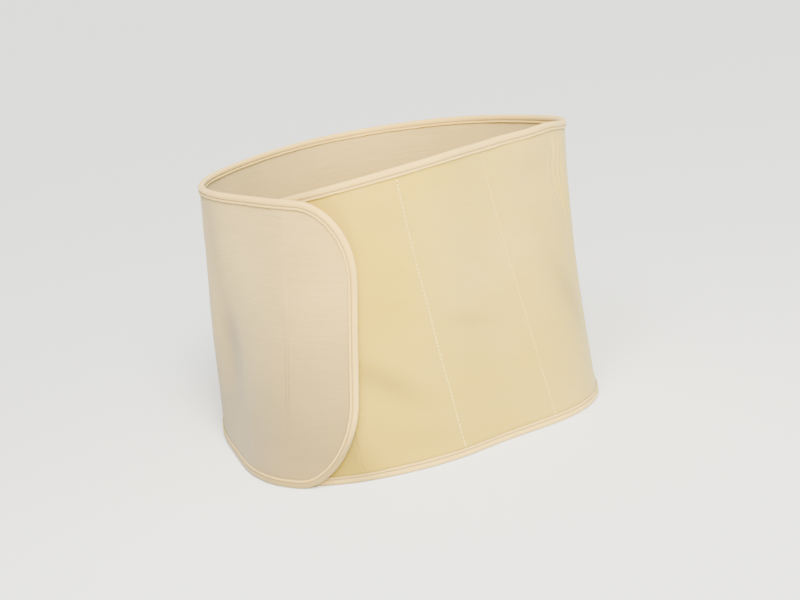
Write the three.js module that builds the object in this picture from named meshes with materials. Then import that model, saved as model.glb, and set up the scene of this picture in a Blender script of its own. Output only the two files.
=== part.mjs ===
// An abdominal binder, fastened into an oval loop. One long strip of cloth goes round the body, and its
// rounded end, the flap, laps over the other end at the front. Every piece is cut flat and wrapped round the
// loop: a place on the strip is its distance round, from the middle of the back and positive by the right
// end, and its height. Millimetres, +Z up, the back towards +Y, the lower edge on the plane z = 0.

import * as THREE from 'three';

// The loop
const bandHeight = 230;
const waistReach = 150; // mean distance from the middle of the loop to its upper edge
const hipReach = 170; // the same at its lower edge
const waistOffset = { x: 32.9, y: 1.4 }; // how far the waist stands aside from the hips
const waistGather = 0.989; // length of the upper edge for each millimetre of strip
const hipStretch = 1.035; // the same for the lower edge
const hipLead = -0.26; // how far the lower edge runs ahead of the upper edge
const rimRise = { x: 4.6, y: -9.7 }; // how much the upper edge rises to the right and to the back
const wallBulge = 0.35; // how far the walls swell between the two edges
const sideBulge = 1.26; // how much more they swell at the right end
const sideBearing = 10;

// The lap at the front
const lapBearing = 255.12; // where the upper edges of the two ends cross
const lapSag = 17.5; // how far both upper edges have dropped there
const flapSagReach = 365; // how far back along each end that drop begins
const panelSagReach = 274.5;
const flapReach = 64.4; // from the crossing to the flap's free end
const panelReach = 70; // from the crossing to the panel's hidden end
const flapSlant = 7.4; // how far the top of the flap's end stands ahead of its middle
const cornerReach = 51.3; // the flap's round corners, along the strip
const cornerRise = 66.9; // and up the end

// The cloth
const liningThickness = 1.2;
const outerThickness = 1.6;
const tapeThickness = 1.0;
const tapeWidth = 9;
const clothGap = 0.3;
const lapClearance = 0.5; // between the flap's tape and the panel's
const seamPitch = 84.7; // between the upright seams
const firstSeam = 20.85; // from the crossing back to the nearest seam
const joinSeam = 9; // the seam, counted from there, where the outer panel ends and the flap begins
const tuckReach = 90; // the stretch over which the panel passes in under the flap
const hookMargin = 6; // between the hook patch and the tape round it
const hookClearance = 0.7; // between the hook patch and the cloth on either side

// Rows and columns of the meshes
const columnStep = 17;
const lapColumnStep = 10;
const rowCount = 8;
const cornerSteps = 9;
const sectionSamples = 1440;
const sectionCount = 32;

// The two edges seen from above: at each bearing, the share of the mean reach. They are drawn through as
// one smooth closed curve.
const outline = [
  { bearing: 0, waist: 0.575, hip: 0.985 },
  { bearing: 30, waist: 0.812, hip: 0.836 },
  { bearing: 60, waist: 0.906, hip: 0.676 },
  { bearing: 90, waist: 1.021, hip: 0.837 },
  { bearing: 120, waist: 1.347, hip: 0.938 },
  { bearing: 150, waist: 1.468, hip: 1.102 },
  { bearing: 180, waist: 1.289, hip: 1.259 },
  { bearing: 210, waist: 1.342, hip: 1.1 },
  { bearing: 240, waist: 1.009, hip: 1.024 },
  { bearing: 270, waist: 0.962, hip: 1.257 },
  { bearing: 300, waist: 0.851, hip: 1.065 },
  { bearing: 330, waist: 0.602, hip: 0.808 },
];

// Soft dents in the cloth. Places and sizes are shares of the band's height: `round` from the crossing,
// positive on the panel, `up` from the lower edge. `turn` is the tilt of the long side in degrees, and
// `depth` a share of dentDepth, negative where the cloth stands out.
const dentDepth = 2.4;
const dents = [
  { round: 0.5, up: 0.25, length: 0.17, breadth: 0.08, turn: 36, depth: 0.9 },
  { round: 0.57, up: 0.36, length: 0.18, breadth: 0.1, turn: 36, depth: -0.5 },
  { round: -0.27, up: 0.36, length: 0.3, breadth: 0.1, turn: 77, depth: 0.8 },
  { round: -0.43, up: 0.38, length: 0.3, breadth: 0.1, turn: 80, depth: -0.6 },
  { round: 1.33, up: 0.5, length: 0.32, breadth: 0.12, turn: 85, depth: 0.5 },
];

const colours = {
  panel: 0xe8d7ae,
  flap: 0xdfceb4,
  lining: 0xd8c6aa,
  tape: 0xecdab8,
  hook: 0xd6c8aa,
};

const radians = THREE.MathUtils.degToRad;
const back = radians(90);

// Weights of four neighbours in a uniform cubic B-spline
function splineWeights(f) {
  return [
    (1 - f) ** 3 / 6,
    (3 * f ** 3 - 6 * f ** 2 + 4) / 6,
    (-3 * f ** 3 + 3 * f ** 2 + 3 * f + 1) / 6,
    f ** 3 / 6,
  ];
}

// Distance from the middle of the loop to an edge at a bearing, as a share of its mean reach
function outlineShare(edge, bearing) {
  const turns = bearing / (2 * Math.PI);
  const place = (turns - Math.floor(turns)) * outline.length;
  const first = Math.floor(place) - 1;
  const weights = splineWeights(place - Math.floor(place));
  const row = (k) => outline[(first + k + outline.length) % outline.length];
  return weights.reduce((sum, weight, k) => sum + weight * row(k)[edge], 0);
}

// The loop cut across at a share of its height, measured off by its length from the back
class Section {
  constructor(share) {
    this.points = [];
    this.lengths = [0];
    const between = (hip, waist) => THREE.MathUtils.lerp(hip, waist, share);
    for (let k = 0; k <= sectionSamples; k += 1) {
      const bearing = back - (2 * Math.PI * k) / sectionSamples;
      const side = sideBulge * Math.max(Math.cos(bearing - radians(sideBearing)), 0);
      const swell = (wallBulge + side) * 4 * share * (1 - share);
      const reach = swell +
        between(hipReach * outlineShare('hip', bearing), waistReach * outlineShare('waist', bearing));
      this.points.push(
        new THREE.Vector2(
          between(0, waistOffset.x) + reach * Math.cos(bearing),
          between(0, waistOffset.y) + reach * Math.sin(bearing),
        ),
      );
      if (k > 0) {
        this.lengths.push(this.lengths[k - 1] + this.points[k].distanceTo(this.points[k - 1]));
      }
    }
    this.girth = this.lengths[sectionSamples];
  }

  // Length from the back to a bearing, going round by the right end
  lengthTo(bearing) {
    const turns = (back - bearing) / (2 * Math.PI);
    return this.lengths[Math.round((turns - Math.floor(turns)) * sectionSamples)];
  }

  // The point at a share of the girth from the back
  at(turn) {
    const along = (turn - Math.floor(turn)) * this.girth;
    let low = 0;
    let high = sectionSamples;
    while (high - low > 1) {
      const middle = Math.floor((low + high) / 2);
      if (this.lengths[middle] <= along) low = middle;
      else high = middle;
    }
    const part = (along - this.lengths[low]) / (this.lengths[high] - this.lengths[low]);
    return this.points[low].clone().lerp(this.points[high], part);
  }
}

const sections = Array.from({ length: sectionCount + 1 }, (_, k) => new Section(k / sectionCount));
const hips = sections[0];
const waist = sections[sectionCount];

// Places along the strip
const panelCross = waist.lengthTo(radians(lapBearing)) / waistGather;
const flapCross = panelCross - waist.girth / waistGather;
const panelEnd = panelCross + panelReach;
const flapEnd = flapCross - flapReach;
const join = panelCross - firstSeam - joinSeam * seamPitch;

function smooth(share) {
  const x = THREE.MathUtils.clamp(share, 0, 1);
  return x * x * (3 - 2 * x);
}

// How far the upper edge has dropped towards the crossing of the two ends
function sag(round) {
  const onPanel = round > 0;
  const distance = onPanel ? panelCross - round : round - flapCross;
  const reach = onPanel ? panelSagReach : flapSagReach;
  const share = Math.max(1 - (distance * waistGather) / reach, 0);
  return lapSag * share ** 2;
}

// How far the dents push the cloth in, at a length before the crossing and a share of the height
function dentAt(beforeCross, level) {
  return dents.reduce((sum, dent) => {
    const x = beforeCross / bandHeight - dent.round;
    const y = level - dent.up;
    const turn = radians(dent.turn);
    const along = (x * Math.cos(turn) - y * Math.sin(turn)) / dent.length;
    const across = (x * Math.sin(turn) + y * Math.cos(turn)) / dent.breadth;
    return sum + dentDepth * dent.depth * Math.exp(-(along ** 2) * 2 - across ** 2);
  }, 0);
}

// A place on the outer face of the tape. Both ends of the strip lie on the same loop, lower down on it
// where the upper edge has dropped.
function onLoop(round, height) {
  const share = height / bandHeight;
  const head = (round * waistGather) / waist.girth;
  const foot = (round * hipStretch + hipLead) / hips.girth;
  const turn = THREE.MathUtils.lerp(foot, head, share);
  const level = share * (1 - sag(round) / bandHeight);
  const below = THREE.MathUtils.clamp(Math.floor(level * sectionCount), 0, sectionCount - 1);
  const plan = sections[below].at(turn);
  plan.lerp(sections[below + 1].at(turn), level * sectionCount - below);
  const fromMiddle = plan.clone().sub({ x: waistOffset.x * level, y: waistOffset.y * level });
  const bearing = fromMiddle.angle();
  const turnsBefore = (bearing - radians(lapBearing)) / (2 * Math.PI);
  const beforeCross = (turnsBefore - Math.round(turnsBefore)) * waist.girth;
  plan.addScaledVector(fromMiddle.normalize(), -dentAt(beforeCross, level));
  const rise = rimRise.x * Math.cos(bearing) + rimRise.y * Math.sin(bearing);
  return new THREE.Vector3(plan.x, plan.y, (bandHeight + rise) * level);
}

// How far the panel is tucked in where it passes under the flap
const lapDepth = liningThickness + outerThickness + 3 * clothGap + 2 * tapeThickness + lapClearance;

function tuck(round, share) {
  const covered = flapEnd + onceRound(share);
  return lapDepth * smooth((round - covered + tuckReach) / (tuckReach - tapeWidth));
}

// Length of strip that goes once round the loop at a share of the height
function onceRound(share) {
  return 1 / THREE.MathUtils.lerp(hipStretch / hips.girth, waistGather / waist.girth, share);
}

// A place on the strip at a level distance outside the face between lining and outer cloth
const tapeFace = outerThickness + 1.5 * clothGap + tapeThickness;

function onBand(round, height, offset) {
  const past = THREE.MathUtils.clamp((flapCross + flapReach - round) / (2 * flapReach), 0, 1);
  const along = round - flapSlant * past * ((2 * height) / bandHeight - 1);
  const step = 0.5;
  const place = onLoop(along, height);
  const forwards = onLoop(along + step, height).sub(onLoop(along - step, height));
  const upwards = onLoop(along, height + step).sub(onLoop(along, height - step));
  const outwards = upwards.cross(forwards).setZ(0).normalize();
  return place.addScaledVector(outwards, offset - tapeFace - tuck(along, height / bandHeight));
}

// A closed solid from a grid of places, each with an inner and an outer face
function layer(columns, inner, outer) {
  const rows = columns[0].length;
  const positions = [];
  for (const offset of [inner, outer]) {
    for (const column of columns) {
      for (const place of column) positions.push(...onBand(place.round, place.height, offset).toArray());
    }
  }
  const size = columns.length * rows;
  const faces = [];
  const quad = (a, b, c, d) => faces.push(a, b, c, a, c, d);
  const at = (i, j, side) => side * size + i * rows + j;
  for (let i = 0; i < columns.length - 1; i += 1) {
    for (let j = 0; j < rows - 1; j += 1) {
      quad(at(i, j, 0), at(i + 1, j, 0), at(i + 1, j + 1, 0), at(i, j + 1, 0));
      quad(at(i, j, 1), at(i, j + 1, 1), at(i + 1, j + 1, 1), at(i + 1, j, 1));
    }
    const top = rows - 1;
    quad(at(i, 0, 0), at(i, 0, 1), at(i + 1, 0, 1), at(i + 1, 0, 0));
    quad(at(i, top, 0), at(i + 1, top, 0), at(i + 1, top, 1), at(i, top, 1));
  }
  const last = columns.length - 1;
  for (let j = 0; j < rows - 1; j += 1) {
    quad(at(0, j, 0), at(0, j + 1, 0), at(0, j + 1, 1), at(0, j, 1));
    quad(at(last, j, 0), at(last, j, 1), at(last, j + 1, 1), at(last, j + 1, 0));
  }
  return facingOut(positions, faces);
}

// The tape's section: distance in from its folded edge, and distance outside the face between the layers
function tapeSection() {
  const outside = tapeFace;
  const inside = -(liningThickness + 1.5 * clothGap + tapeThickness);
  const fold = tapeThickness;
  const floor = tapeThickness;
  return [
    { depth: tapeWidth, offset: outside },
    { depth: fold, offset: outside },
    { depth: 0, offset: outside - fold },
    { depth: 0, offset: inside + fold },
    { depth: fold, offset: inside },
    { depth: tapeWidth, offset: inside },
    { depth: tapeWidth, offset: inside + tapeThickness },
    { depth: floor, offset: inside + tapeThickness },
    { depth: floor, offset: outside - tapeThickness },
    { depth: tapeWidth, offset: outside - tapeThickness },
  ];
}

// A closed solid of the tape's section along an edge. Each stop has its place on the strip and the way in.
function tape(stops) {
  const section = tapeSection();
  const positions = [];
  for (const stop of stops) {
    for (const point of section) {
      const round = stop.round + stop.inRound * point.depth;
      const height = stop.height + stop.inHeight * point.depth;
      positions.push(...onBand(round, height, point.offset).toArray());
    }
  }
  const size = section.length;
  const faces = [];
  for (let i = 0; i < stops.length - 1; i += 1) {
    for (let k = 0; k < size; k += 1) {
      const next = (k + 1) % size;
      const a = i * size + k;
      const b = i * size + next;
      faces.push(a, b, b + size, a, b + size, a + size);
    }
  }
  const shape = section.map((point) => new THREE.Vector2(point.depth, point.offset));
  const cap = THREE.ShapeUtils.triangulateShape(shape, []);
  const end = (stops.length - 1) * size;
  for (const [a, b, c] of cap) faces.push(a, c, b, end + a, end + b, end + c);
  return facingOut(positions, faces);
}

// Turns all faces over where they enclose a negative volume
function facingOut(positions, faces) {
  let volume = 0;
  const corner = (k) => new THREE.Vector3().fromArray(positions, 3 * k);
  for (let k = 0; k < faces.length; k += 3) {
    volume += corner(faces[k]).dot(corner(faces[k + 1]).cross(corner(faces[k + 2])));
  }
  if (volume < 0) {
    for (let k = 0; k < faces.length; k += 3) {
      [faces[k + 1], faces[k + 2]] = [faces[k + 2], faces[k + 1]];
    }
  }
  const geometry = new THREE.BufferGeometry();
  geometry.setAttribute('position', new THREE.Float32BufferAttribute(positions, 3));
  geometry.setIndex(faces);
  geometry.computeVertexNormals();
  return geometry;
}

// Stops along the whole strip, shared by every layer, and closer together where the two ends lap
const lapped = panelReach + flapReach;
const allStops = [];
for (const [from, to, step] of [
  [flapEnd + cornerReach, flapCross + lapped, lapColumnStep],
  [flapCross + lapped, join, columnStep],
  [join, panelCross - lapped, columnStep],
  [panelCross - lapped, panelEnd, lapColumnStep],
]) {
  const count = Math.ceil((to - from) / step);
  for (let i = 0; i < count; i += 1) allStops.push(THREE.MathUtils.lerp(from, to, i / count));
}

function stopsBetween(from, to) {
  const inside = allStops.filter((stop) => stop > from + clothGap && stop < to - lapColumnStep / 3);
  return [from, ...inside, to];
}

// A column of places up the strip between two heights
function column(round, low, high) {
  const places = [];
  for (let j = 0; j <= rowCount; j += 1) {
    places.push({ round, height: THREE.MathUtils.lerp(low, high, j / rowCount) });
  }
  return places;
}

// Columns of the flap's rounded end, `inset` in from the edge of the tape
function roundedColumns(inset) {
  const columns = [];
  for (let k = cornerSteps; k >= 0; k -= 1) {
    const turn = (k / cornerSteps) * radians(90);
    const round = flapEnd + cornerReach - (cornerReach - inset) * Math.cos(turn);
    const low = cornerRise - (cornerRise - inset) * Math.sin(turn);
    columns.push(column(round, low, bandHeight - low));
  }
  return columns;
}

const edgeInset = tapeThickness + clothGap;

function uprights(from, to) {
  return stopsBetween(from, to).map((round) => column(round, edgeInset, bandHeight - edgeInset));
}

function outerPanelGeometry() {
  const columns = uprights(join + clothGap / 2, panelEnd - edgeInset);
  return layer(columns, clothGap / 2, clothGap / 2 + outerThickness);
}

function flapGeometry() {
  const body = uprights(flapEnd + cornerReach, join - clothGap / 2);
  const columns = [...roundedColumns(edgeInset).reverse(), ...body.slice(1)];
  return layer(columns, clothGap / 2, clothGap / 2 + outerThickness);
}

function liningGeometry() {
  const body = uprights(flapEnd + cornerReach, panelEnd - edgeInset);
  const columns = [...roundedColumns(edgeInset).reverse(), ...body.slice(1)];
  return layer(columns, -clothGap / 2 - liningThickness, -clothGap / 2);
}

// A plain patch that fills the space between the flap's lining and the panel
function hookPatchGeometry() {
  const panelFace = clothGap / 2 + outerThickness - lapDepth;
  const liningFace = -clothGap / 2 - liningThickness;
  const low = cornerRise / 2 + hookMargin;
  const start = flapEnd + tapeWidth + hookMargin;
  const finish = panelEnd - onceRound(low / bandHeight) - tapeWidth - hookMargin;
  const columns = [];
  const count = Math.max(Math.round((finish - start) / lapColumnStep), 1);
  for (let i = 0; i <= count; i += 1) {
    columns.push(column(THREE.MathUtils.lerp(start, finish, i / count), low, bandHeight - low));
  }
  return layer(columns, panelFace + hookClearance, liningFace - hookClearance);
}

function upperTapeGeometry() {
  const stops = stopsBetween(flapEnd + cornerReach + clothGap / 2, panelEnd - tapeWidth - clothGap / 2);
  return tape(stops.map((round) => ({ round, height: bandHeight, inRound: 0, inHeight: -1 })));
}

function lowerTapeGeometry() {
  const stops = stopsBetween(flapEnd + cornerReach + clothGap / 2, panelEnd - tapeWidth - clothGap / 2);
  return tape(stops.map((round) => ({ round, height: 0, inRound: 0, inHeight: 1 })));
}

// Round the flap's end: the lower corner, the upright and the upper corner
function flapTapeGeometry() {
  const stops = [];
  const corner = (turn, upper) => {
    const reach = Math.cos(turn) / cornerReach;
    const rise = Math.sin(turn) / cornerRise;
    const length = Math.hypot(reach, rise);
    const height = cornerRise * (1 - Math.sin(turn));
    stops.push({
      round: flapEnd + cornerReach * (1 - Math.cos(turn)),
      height: upper ? bandHeight - height : height,
      inRound: reach / length,
      inHeight: ((upper ? -1 : 1) * rise) / length,
    });
  };
  for (let k = cornerSteps; k >= 0; k -= 1) corner((k / cornerSteps) * radians(90), false);
  const straight = bandHeight - 2 * cornerRise;
  const pieces = Math.max(Math.round(straight / columnStep), 1);
  for (let k = 1; k < pieces; k += 1) {
    stops.push({ round: flapEnd, height: cornerRise + (straight * k) / pieces, inRound: 1, inHeight: 0 });
  }
  for (let k = 0; k <= cornerSteps; k += 1) corner((k / cornerSteps) * radians(90), true);
  return tape(stops);
}

// The panel's hidden end, bound between the ends of the upper and lower tapes
function innerEndTapeGeometry() {
  const stops = column(panelEnd, edgeInset, bandHeight - edgeInset);
  return tape(stops.map((stop) => ({ ...stop, inRound: -1, inHeight: 0 })));
}

function cloth(name, geometry, colour, roughness) {
  const material = new THREE.MeshStandardMaterial({ color: colour, roughness, metalness: 0 });
  const mesh = new THREE.Mesh(geometry, material);
  mesh.name = name;
  return mesh;
}

const binder = new THREE.Group();
binder.add(
  cloth('outer_panel', outerPanelGeometry(), colours.panel, 0.82),
  cloth('flap', flapGeometry(), colours.flap, 0.92),
  cloth('lining', liningGeometry(), colours.lining, 0.95),
  cloth('top_binding', upperTapeGeometry(), colours.tape, 0.85),
  cloth('bottom_binding', lowerTapeGeometry(), colours.tape, 0.85),
  cloth('flap_binding', flapTapeGeometry(), colours.tape, 0.85),
  cloth('inner_end_binding', innerEndTapeGeometry(), colours.tape, 0.85),
  cloth('hook_patch', hookPatchGeometry(), colours.hook, 0.95),
);

// The origin is the middle of the binder's footprint
const extent = new THREE.Box3().setFromObject(binder);
const middle = extent.getCenter(new THREE.Vector3());
for (const piece of binder.children) piece.position.set(-middle.x, -middle.y, 0);

export default binder;
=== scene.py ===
"""An abdominal binder, closed into an upright oval loop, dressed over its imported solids.

Every piece is cut flat and wrapped round the loop. A place on the strip is its distance round, from the
middle of the back and positive by the right end, and its height, both in millimetres.
"""

import bpy
import numpy as np
from mathutils import Matrix, Vector


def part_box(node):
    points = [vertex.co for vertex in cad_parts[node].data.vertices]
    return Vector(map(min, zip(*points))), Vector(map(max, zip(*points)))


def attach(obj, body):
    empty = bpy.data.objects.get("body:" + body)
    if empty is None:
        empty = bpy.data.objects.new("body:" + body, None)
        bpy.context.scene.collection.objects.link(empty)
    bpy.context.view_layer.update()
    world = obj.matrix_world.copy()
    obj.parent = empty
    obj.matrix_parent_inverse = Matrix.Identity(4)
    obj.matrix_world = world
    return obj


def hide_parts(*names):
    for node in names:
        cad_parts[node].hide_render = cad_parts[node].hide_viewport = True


MM = 0.001

# The loop and the lap, as in the part's source
BAND_HEIGHT = 230.0
WAIST_REACH = 150.0
HIP_REACH = 170.0
WAIST_OFFSET = (32.9, 1.4)
WAIST_GATHER = 0.989
HIP_STRETCH = 1.035
HIP_LEAD = -0.26
RIM_RISE = (4.6, -9.7)
WALL_BULGE = 0.35
SIDE_BULGE = 1.26
SIDE_BEARING = 10.0
LAP_BEARING = 255.12
LAP_SAG = 17.5
FLAP_SAG_REACH = 365.0
PANEL_SAG_REACH = 274.5
FLAP_REACH = 64.4
PANEL_REACH = 70.0
FLAP_SLANT = 7.4
CORNER_REACH = 51.3
CORNER_RISE = 66.9
LINING = 1.2
OUTER = 1.6
TAPE = 1.0
TAPE_WIDTH = 9.0
GAP = 0.3
LAP_CLEARANCE = 0.5
SEAM_PITCH = 84.7
FIRST_SEAM = 20.85
JOIN_SEAM = 9
TUCK_REACH = 90.0
HOOK_MARGIN = 6.0
HOOK_CLEARANCE = 0.7
DENT_DEPTH = 2.4

# Share of the mean reach at each 30 degrees of bearing
WAIST_OUTLINE = (0.575, 0.812, 0.906, 1.021, 1.347, 1.468, 1.289, 1.342, 1.009, 0.962, 0.851, 0.602)
HIP_OUTLINE = (0.985, 0.836, 0.676, 0.837, 0.938, 1.102, 1.259, 1.100, 1.024, 1.257, 1.065, 0.808)

# Soft dents: round before the crossing and up, length, breadth, turn in degrees, depth
DENTS = (
    (0.50, 0.25, 0.17, 0.07, 36, 1.3),
    (0.57, 0.36, 0.18, 0.09, 36, -0.8),
    (-0.27, 0.36, 0.30, 0.09, 77, 1.5),
    (-0.43, 0.38, 0.30, 0.09, 80, -0.9),
    (1.33, 0.50, 0.32, 0.12, 85, 0.5),
    (1.40, 0.83, 0.24, 0.08, 0, 2.0),
)

# Slight rises and drops of the upper edge: round, spread, drop
RIM_WAVES = ((325.0, 22.0, -0.3), (248.0, 26.0, 1.35), (168.0, 22.0, -2.3))

# Relief of the cloth. Pairs are a depth and a half width, unless said otherwise
SEAM_STRAY = 0.35  # how far a seam wanders sideways
SEAM_GROOVE = (0.42, 0.8)
SEAM_SWELL = (0.2, 1.2)
SEAM_SWELL_PLACE = 2.2  # from the seam
SEAM_PUCKER = (0.16, 5.0)
QUILTING = (0.35, 16.0)  # depth at a seam, reach to either side
QUILTING_END = 3.0  # it fades out over this length beside the tapes
FLAP_SEAM = 63.4  # from the flap's end to its faint double stitching
FLAP_SEAM_SPREAD = 3.4
FLAP_GROOVE = (0.16, 0.6)
FLAP_RIDGE = 0.08  # between the two lines
PANEL_UNEVEN = 0.2
FLAP_UNEVEN = 0.14
LINING_UNEVEN = 0.12
FOLD_PLACE = 157.0  # small upright folds below the upper tape, at the right end
FOLD_SPREAD = 15.0
FOLD_FOOT = 120.0
FOLD_GROWTH = 60.0  # height over which they grow from their foot
FOLD_END = 6.0  # and fade out below the tape
FOLD_PITCH = 7.0
FOLD_DEPTH = 0.7
FOLD_LEAN = 0.12  # sideways for each millimetre up
FOLD_STRAY = 1.5

# Section of the folded tape
TAPE_SEEN = 7.0  # its width as it is sewn, a little less than its solid's
CREASE = 0.7 * TAPE_SEEN  # from its fold to its line of stitches
FACE_DROP = 0.4  # its flattest place lies this far below the solid's face
ROLL_PUFF = 0.4
STRIP_PUFF = 0.3
FOLD_ROUND = 0.4 * TAPE_SEEN  # length over which its fold is rounded
CREASE_CUT = (0.5, 0.55)
BACK_DROP = 0.1
BACK_FOLD = (2.2, 1.5)  # where its hidden inner side turns, from the fold
TAPE_SWELL = 0.06
TAPE_PULL = 0.25
EVEN_END = 10.0  # length without puckers at both ends
TAPE_START_GAP = 0.03

# Stitches: length, half width and rise
SEAM_STITCH = (3.1, 0.8, 0.42)
FLAP_STITCH = (2.4, 0.28, 0.2)
TAPE_STITCH = (2.2, 0.22, 0.22)
STITCH_PITCH = 3.4
TAPE_STITCH_PITCH = 3.0
STITCH_MARGIN = (1.8, 2.0, 1.5)  # from the lower tape on the panel, on the flap, and from the upper tape
SEAM_PROUD = (-0.33, 0.14, -0.12, -0.14, 0.0, 0.04, -0.05, 0.04, 0.0)  # how far each seam's thread stands out
FLAP_PROUD = 0.06
FLAP_SUNK = (0.22, 165.0, 60.0)  # in the flap's lower half: depth, height below which, reach
TAPE_STITCH_SUNK = 0.62

# Painted shade. Pairs are a depth and a half width, and triples a depth, where it begins and its reach
# The colour that painted shade turns a cloth towards, and how far it turns it at most
PAINTED_SHADE_COLOUR = (0.15, 0.115, 0.06)
PAINTED_SHADE_STRENGTH = 0.7
# Painted shade: a dark line on the cloth beside the tape's edge
BESIDE_TAPE = (0.45, 0.8)
LOW_SHADE_START = 1.05  # with the rate: painted shade, full below 4% of the height and none above 81%
LOW_SHADE_RATE = 1.3
# Beside the flap's edge: at the top, gained lower down, the share of the height below which, over which share
BESIDE_DEPTH = (0.25, 0.75, 0.55, 0.5)
BESIDE_WIDE = (0.25, 0.35, 0.3, 0.2)
BESIDE_REACH = (6.0, 3.0, 0.25, 0.2)
BESIDE_CLOSE = 1.5
# Painted shade over all of the flap, which lets patches of depth below 0 lighten it
FLAP_BASE = 0.1
# Painted shade in a line along the flap's stitching
FLAP_LINE_SHADE = (0.35, 0.8)
FLAP_LINE_TOP = (150.0, 50.0)  # height below which the stitching has painted shade, and its reach
LINING_DEEPER = (0.34, 226.0, 66.0)
LINING_LEFT = (0.15, 20.0, 120.0)
# Painted shade on the tape: dark lines at its crease and free edge, and darker lower edges, most where it
# turns under
TAPE_CREASE_SHADE_WIDTH = 0.45
TAPE_EDGE_SHADE = (0.4, 0.3)
TAPE_INSIDE = 0.55  # share of these two on the inside
TAPE_LOW = (60.0, 45.0)  # height below which the lower edges are in shade, and its reach
TAPE_LEFT = (-250.0, 150.0)  # the same round the left end
STRIP_LIGHTER = 0.85
TURNED_UNDER_SHADE = (0.45, 2.0)
CORNER_UNDER_SHADE = 0.5  # added on the flap's lower corner
# Painted shade in soft patches, in hollows and folds, over broad stretches and beside the flap's lower
# corner;
# a depth below 0 paints light: round, height, length, breadth, turn in degrees, depth
FLAP_SHADE_PATCHES = (
    (-461.0, 188.0, 45.0, 15.0, 90, 0.42),
    (-472.0, 102.0, 36.0, 19.0, 80, 0.50),
    (-487.0, 28.0, 34.0, 18.0, 10, 0.42),
    (-524.0, 151.0, 30.0, 22.0, 60, -0.14),
    (-566.0, 136.0, 11.0, 6.0, 0, 0.18),
)
PANEL_SHADE_PATCHES = (
    (382.0, 72.0, 28.0, 9.0, 42, 0.36),
    (369.0, 86.0, 30.0, 8.0, 38, -0.14),
    (398.0, 84.0, 12.0, 12.0, 0, 0.12),
    (300.0, 102.0, 24.0, 6.0, 18, 0.25),
    (190.0, 91.0, 34.0, 13.0, 69, 0.36),
    (182.0, 95.0, 190.0, 38.0, 90, 0.15),
    (405.0, 85.0, 110.0, 38.0, 90, 0.10),
    (348.0, 196.0, 18.0, 10.0, 20, 0.12),
    (363.0, 24.0, 34.0, 9.0, 10, 0.15),
    (425.0, 14.0, 28.0, 18.0, 60, 0.7),
)

# Finish
CLOTH_SHEEN = 0.2
CLOTH_BUMP = 0.0008
STREAKS = 420.0  # a metre
GRAINS = 1300.0
MIX_SHARE, MIX_FIRST, MIX_SECOND, MIX_RESULT = 0, 6, 7, 2  # places of the colour sockets on a mix node

# Fineness
LEVELS = 48
SAMPLES = 2160
TURNS = 8192
SHARP_ANGLE = 60.0
OUTER_STEP = 3.0  # between columns of the panel and the flap
LINING_STEP = 4.0
FOLD_STEP = 1.5
FOLD_SHIFT = 0.07  # keeps the folds' columns off the others
PANEL_ROWS = 90
FLAP_ROWS = 80
LINING_ROWS = 56
HOOK_ROWS = 40
HOOK_COLUMNS = 24
FLAP_CORNER_COLUMNS = 30
LINING_CORNER_COLUMNS = 24


def smooth(x):
    """0 to 1 as x goes from 0 to 1, level at both ends: 3x^2 - 2x^3."""
    x = np.clip(x, 0.0, 1.0)
    return x * x * (3.0 - 2.0 * x)


def bell(x):
    """1 at x = 0, falling off to both sides: exp(-x^2)."""
    return np.exp(-(x**2))


def outline_share(table, bearing):
    """The table drawn through as a closed uniform cubic B-spline."""
    place = (bearing / (2 * np.pi)) % 1.0 * len(table)
    first = np.floor(place).astype(int)
    f = place - first
    weights = (
        (1 - f) ** 3 / 6,
        (3 * f**3 - 6 * f**2 + 4) / 6,
        (-3 * f**3 + 3 * f**2 + 3 * f + 1) / 6,
        f**3 / 6,
    )
    table = np.array(table)
    return sum(w * table[(first - 1 + k) % len(table)] for k, w in enumerate(weights))


def level_sections():
    """The loop's plan at LEVELS + 1 levels, each measured off evenly by its length from the back."""
    bearing = np.pi / 2 - 2 * np.pi * np.arange(SAMPLES + 1) / SAMPLES
    waist = WAIST_REACH * outline_share(WAIST_OUTLINE, bearing)
    hips = HIP_REACH * outline_share(HIP_OUTLINE, bearing)
    side = SIDE_BULGE * np.maximum(np.cos(bearing - np.radians(SIDE_BEARING)), 0)
    plans = np.zeros((LEVELS + 1, TURNS + 1, 2))
    girths = np.zeros(LEVELS + 1)
    for k in range(LEVELS + 1):
        share = k / LEVELS
        reach = (WALL_BULGE + side) * 4 * share * (1 - share) + (1 - share) * hips + share * waist
        x = share * WAIST_OFFSET[0] + reach * np.cos(bearing)
        y = share * WAIST_OFFSET[1] + reach * np.sin(bearing)
        along = np.concatenate([[0.0], np.cumsum(np.hypot(np.diff(x), np.diff(y)))])
        even = np.linspace(0, along[-1], TURNS + 1)
        plans[k] = np.stack([np.interp(even, along, x), np.interp(even, along, y)], -1)
        girths[k] = along[-1]
    turn = (np.pi / 2 - np.radians(LAP_BEARING)) / (2 * np.pi) % 1.0
    cross = np.interp(turn * SAMPLES, np.arange(SAMPLES + 1), along) / WAIST_GATHER
    return plans, girths, cross


PLANS, GIRTHS, PANEL_CROSS = level_sections()
WAIST_GIRTH = GIRTHS[-1]
HIP_GIRTH = GIRTHS[0]
FLAP_CROSS = PANEL_CROSS - WAIST_GIRTH / WAIST_GATHER
PANEL_END = PANEL_CROSS + PANEL_REACH
FLAP_END = FLAP_CROSS - FLAP_REACH
JOIN = PANEL_CROSS - FIRST_SEAM - JOIN_SEAM * SEAM_PITCH
SEAMS = PANEL_CROSS - FIRST_SEAM - SEAM_PITCH * np.arange(JOIN_SEAM)
TAPE_FACE = OUTER + 1.5 * GAP + TAPE
TAPE_INNER_FACE = LINING + 1.5 * GAP + TAPE
LAP_DEPTH = LINING + OUTER + 3 * GAP + 2 * TAPE + LAP_CLEARANCE
EDGE_INSET = TAPE + GAP


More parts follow.
